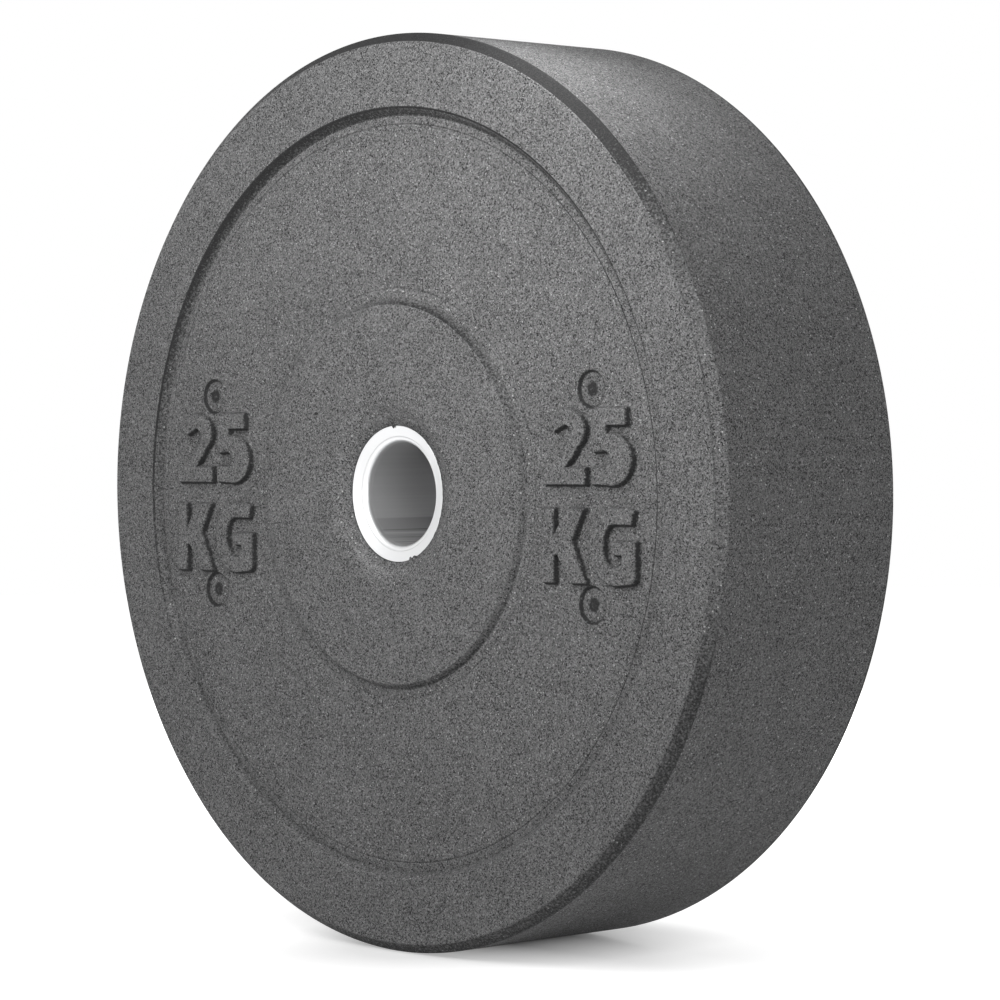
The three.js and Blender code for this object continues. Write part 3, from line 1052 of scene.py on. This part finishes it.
class PLATE_OT_lettered_rings(bpy.types.Operator):
    """Make the skin of both webs, with the raised weight mark and the mould's round marks"""

    bl_idname = "plate.lettered_rings"
    bl_label = "Lettered rings"

    def execute(self, context):
        s, letters = context.scene.plate_rubber, context.scene.plate_letters
        inner, outer = s.web_inner + RING_SLACK, s.web_outer - RING_SLACK
        radii = spaced([inner + s.crease_width, *FINE_RADII, outer - s.crease_width], RADIUS_STEPS)
        stops = [-FINE_ANGLE, FINE_ANGLE, math.pi - FINE_ANGLE, math.pi + FINE_ANGLE]
        turns = spaced([*stops, 2 * math.pi - FINE_ANGLE], ANGLE_STEPS)[:-1]
        x, z = radii[:, None] * np.cos(turns), radii[:, None] * np.sin(turns)
        x, z = drawn_to_edges(x, z, radii, turns, letters)
        height, skin = web_relief(x, z, letters)
        web = s.half_width - s.web_depth
        floor = web - s.ring_thickness + RING_SLACK
        top = np.stack([x, -(web + height), z], axis=-1)
        above = revolve(np.array([[inner, -floor], [inner, s.inner_crease - web]]), turns)
        below = revolve(np.array([[outer, s.outer_crease - web], [outer, -floor]]), turns)
        points = np.concatenate([above, top, below])
        edges = np.array([PRESSED, INNER_CREASE_SKIN_AND_SHADE, OUTER_CREASE_SKIN_AND_SHADE, PRESSED])
        edges = skin_and_painted_shade_round(edges, turns)
        skin = np.concatenate([edges[:2], skin, edges[2:]])
        faces = self.split(grid_faces(*points.shape[:2]), points.reshape(-1, 3))
        for name, turned in (("front", 1), ("rear", -1)):
            piece = add_rubber(f"{name}_lettered_ring", points * [turned, turned, 1], faces, skin)
            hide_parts("rubber_body")
        return {"FINISHED"}

    @staticmethod
    def split(quads, points):
        """Triangles of the quads, cut along the diagonal whose ends lie at the nearer heights."""
        heights = points[quads, 1]
        drops = np.abs(heights[:, :2] - heights[:, 2:])
        first = (drops[:, 0] <= drops[:, 1])[:, None]
        a = np.where(first, quads[:, [0, 1, 2]], quads[:, [0, 1, 3]])
        b = np.where(first, quads[:, [0, 2, 3]], quads[:, [1, 2, 3]])
        return np.concatenate([a, b])


# Dullness at the inner end of the sleeve's mouth, and the power by which it gets there; its
# growth with depth is partly painted shade.
MOUTH_DULL_AND_SHADE, DULL_POWER = 0.5, 6

# Dullness just inside the mouth, at that depth, and at two shares of the way to the middle:
# the bore darkens further in, partly its drawn finish and partly painted shade.
BORE_START, START_DULL_AND_SHADE = 0.0015, 0.8
BORE_DULLNESS_AND_SHADE = ((0.6, 0.92), (0.3, 1.0))

# Roundings of the sleeve's and the lip collar's edges.
SLEEVE_ROUNDING, LIP_ROUNDING, LIP_BORE_ROUNDING = 0.00005, 0.0003, 0.0001


class PLATE_OT_hub_sleeve(bpy.types.Operator):
    """Make the steel sleeve that lines the bore, with a quarter ellipse at each mouth"""

    bl_idname = "plate.hub_sleeve"
    bl_label = "Hub sleeve"

    def execute(self, context):
        t = context.scene.plate_steel
        end, deep = t.sleeve_end, t.sleeve_end - t.mouth_depth
        centre = t.bore_radius + t.mouth_width, deep
        mouth = arc(centre, (t.mouth_width, t.mouth_depth), 90, 180)
        # Dullness grows with depth into the bore: partly painted shade.
        dulling_and_shade = MOUTH_DULL_AND_SHADE * np.linspace(0, 1, len(mouth)) ** DULL_POWER
        half = [
            (t.sleeve_radius, end, SLEEVE_ROUNDING, 0.0),
            *[(radius, along, 0, dull) for (radius, along), dull in zip(mouth, dulling_and_shade)],
            (t.bore_radius, deep - BORE_START, 0, START_DULL_AND_SHADE),
            *[(t.bore_radius, share * deep, 0, dull) for share, dull in BORE_DULLNESS_AND_SHADE],
        ]
        piece = add_steel("hub_sleeve_fine", half + mirrored(half))
        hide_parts("hub_sleeve")
        return {"FINISHED"}


class PLATE_OT_lip_collars(bpy.types.Operator):
    """Make the bright lip collar at each end of the sleeve"""

    bl_idname = "plate.lip_collars"
    bl_label = "Lip collars"

    def execute(self, context):
        s, t = context.scene.plate_rubber, context.scene.plate_steel
        top, lip_back, flange_back, tail = collar_levels(s, t)
        corners = [
            (t.collar_bore, tail, 0, 0.0),
            (t.tail_radius, tail, 0, 0.0),
            (t.tail_radius, flange_back, 0, 0.0),
            (t.flange_radius, flange_back, 0, 0.0),
            (t.flange_radius, lip_back, 0, 0.0),
            (t.lip_radius, lip_back, 0, 0.0),
            (t.lip_radius, top, LIP_ROUNDING, 0.0),
            (t.collar_bore, t.sleeve_end, LIP_BORE_ROUNDING, 0.0),
        ]
        for name, outline in (("rear", corners), ("front", mirrored(corners))):
            piece = add_steel(f"{name}_lip_collar_fine", outline)
            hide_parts(f"{name}_lip_collar")
        return {"FINISHED"}


class PLATE_OT_buried_steel(bpy.types.Operator):
    """Give the buried anchor plates and the ring welds their finishes"""

    bl_idname = "plate.buried_steel"
    bl_label = "Buried steel"

    def execute(self, context):
        looks = context.scene.plate_looks
        rolled = plain_steel("rolled_steel", looks.plain_steel, scale=180.0, roughness=0.55)
        bead = plain_steel("weld_bead", looks.weld, scale=900.0, roughness=0.6)
        finishes = {"anchor_plate": rolled, "collar_weld": bead, "plate_weld": bead}
        for end in ("front", "rear"):
            for name, material in finishes.items():
                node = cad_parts[f"{end}_{name}"]
                node.data.materials.clear()
                node.data.materials.append(material)
        return {"FINISHED"}


# Lamps: place, the point that it faces, width and height. The key is above the front, the edge
# lamp is close over the tread, and the other two are far off at the right and behind.
LAMPS = {
    "key": ((0.091, -0.445, 0.333), (-0.148, 0.099, 0.299), 0.6, 0.6),
    "edge": ((0.138, -0.063, 0.273), (0.197, -0.038, 0.037), 0.12, 0.12),
    "side": ((1.588, -0.5, 0.05), (0.0, 0.0, 0.0), 1.0, 0.5),
    "rear": ((-0.9, 1.4, 0.3), (0.0, 0.0, 0.0), 1.2, 0.8),
}

# Width of the camera's sensor in millimetres.
SENSOR_WIDTH = 36.0

# Radii of the floor's rings, and the gap between the floor and the plate.
FLOOR_RADII, FLOOR_GAP = (0.001, 0.4, 1.2, 4.0), 0.0001


class PLATE_OT_stage(bpy.types.Operator):
    """Set the camera, the lamps, the white floor and the surroundings"""

    bl_idname = "plate.stage"
    bl_label = "Stage"

    def execute(self, context):
        scene = context.scene
        self.camera(scene, scene.plate_studio)
        for name in LAMPS:
            self.lamp(scene, name, getattr(scene.plate_studio, name))
        self.floor(scene)
        self.surroundings(scene, scene.plate_studio)
        return {"FINISHED"}

    @staticmethod
    def camera(scene, studio):
        """The camera looks level along its view at the plate, slid sideways and up a little."""
        az, el = studio.azimuth, studio.elevation
        back = Vector((math.sin(az) * math.cos(el), -math.cos(az) * math.cos(el), math.sin(el)))
        right = Vector((math.cos(az), math.sin(az), 0.0))
        up = back.cross(right)
        place = back * studio.distance + right * studio.slide_right + up * studio.slide_up
        pose = Matrix((right, up, back)).transposed().to_4x4()
        pose.translation = place
        data = bpy.data.cameras.new("photo_camera")
        data.sensor_width, data.lens = SENSOR_WIDTH, studio.focal_length
        camera = bpy.data.objects.new("photo_camera", data)
        camera.matrix_world = Matrix.Rotation(studio.roll, 4, "Y") @ pose
        scene.collection.objects.link(camera)
        scene.camera = camera

    @staticmethod
    def lamp(scene, name, power):
        """A soft rectangular lamp at its place, facing its point."""
        place, aim, width, height = LAMPS[name]
        data = bpy.data.lights.new(f"{name}_lamp", "AREA")
        data.shape = "RECTANGLE"
        data.size, data.size_y, data.energy = width, height, power
        lamp = bpy.data.objects.new(f"{name}_lamp", data)
        lamp.location = place
        lamp.rotation_euler = (Vector(aim) - Vector(place)).to_track_quat("-Z", "Y").to_euler()
        lamp.visible_camera = False
        scene.collection.objects.link(lamp)

    @staticmethod
    def floor(scene):
        """A round white floor under the plate: rings of quads about a small polygon."""
        turns = around(FLOOR_TURNS)
        radii = np.array(FLOOR_RADII)[:, None]
        x, y = radii * np.cos(turns), radii * np.sin(turns)
        points = np.stack([x, y, np.full(x.shape, CAD_BOX[0][2] - FLOOR_GAP)], axis=-1)
        quads = grid_faces(*x.shape)[:-FLOOR_TURNS].tolist()
        mesh = bpy.data.meshes.new("floor")
        mesh.from_pydata(points.reshape(-1, 3).tolist(), [], quads + [list(range(FLOOR_TURNS))])
        mesh.materials.append(floor_white())
        floor = bpy.data.objects.new("floor", mesh)
        scene.collection.objects.link(floor)

    @staticmethod
    def surroundings(scene, studio):
        """White in view, and a plain soft light elsewhere."""
        world = bpy.data.worlds.new("studio_white")
        world.use_nodes = True
        tree = world.node_tree
        tree.nodes.clear()
        inputs = {"Fac": white_in_view(tree)}
        for socket, strength in ((1, studio.world), (2, 1.0)):
            light = {"Color": opaque(WHITE), "Strength": strength}
            inputs[socket] = add_node(tree, "ShaderNodeBackground", light).outputs[0]
        shader = add_node(tree, "ShaderNodeMixShader", inputs)
        add_node(tree, "ShaderNodeOutputWorld", {"Surface": shader.outputs[0]})
        scene.world = world
        scene.view_settings.view_transform = "Standard"


OPERATORS = (
    PLATE_OT_stage,
    PLATE_OT_rubber_body,
    PLATE_OT_lettered_rings,
    PLATE_OT_hub_sleeve,
    PLATE_OT_lip_collars,
    PLATE_OT_buried_steel,
)

GROUPS = {
    "plate_rubber": PlateRubberSizes,
    "plate_letters": PlateLetterSizes,
    "plate_steel": PlateSteelSizes,
    "plate_looks": PlateLooks,
    "plate_studio": PlateStudio,
}


class PLATE_PT_pieces(bpy.types.Panel):
    """Lists the pieces of the plate and the stage"""

    bl_idname = "PLATE_PT_pieces"
    bl_label = "Bumper plate"
    bl_space_type = "VIEW_3D"
    bl_region_type = "UI"
    bl_category = "Plate"

    def draw(self, context):
        for operator in OPERATORS:
            self.layout.operator(operator.bl_idname)
        for key, group in GROUPS.items():
            box = self.layout.box()
            box.label(text=group.__doc__)
            for name in group.__annotations__:
                box.prop(getattr(context.scene, key), name)


def register():
    """Adds the sizes and looks, the operators and the panel to Blender."""
    for group in GROUPS.values():
        bpy.utils.register_class(group)
    for key, group in GROUPS.items():
        setattr(bpy.types.Scene, key, PointerProperty(type=group))
    for part in (*OPERATORS, PLATE_PT_pieces):
        bpy.utils.register_class(part)


def unregister():
    """Takes them away again, in the opposite order."""
    for part in (PLATE_PT_pieces, *reversed(OPERATORS)):
        bpy.utils.unregister_class(part)
    for key in GROUPS:
        delattr(bpy.types.Scene, key)
    for group in reversed(GROUPS.values()):
        bpy.utils.unregister_class(group)


def main():
    """Builds the stage and the plate."""
    register()
    bpy.ops.plate.stage()
    bpy.ops.plate.rubber_body()
    bpy.ops.plate.lettered_rings()
    bpy.ops.plate.hub_sleeve()
    bpy.ops.plate.lip_collars()
    bpy.ops.plate.buried_steel()


if __name__ == "__main__":
    main()
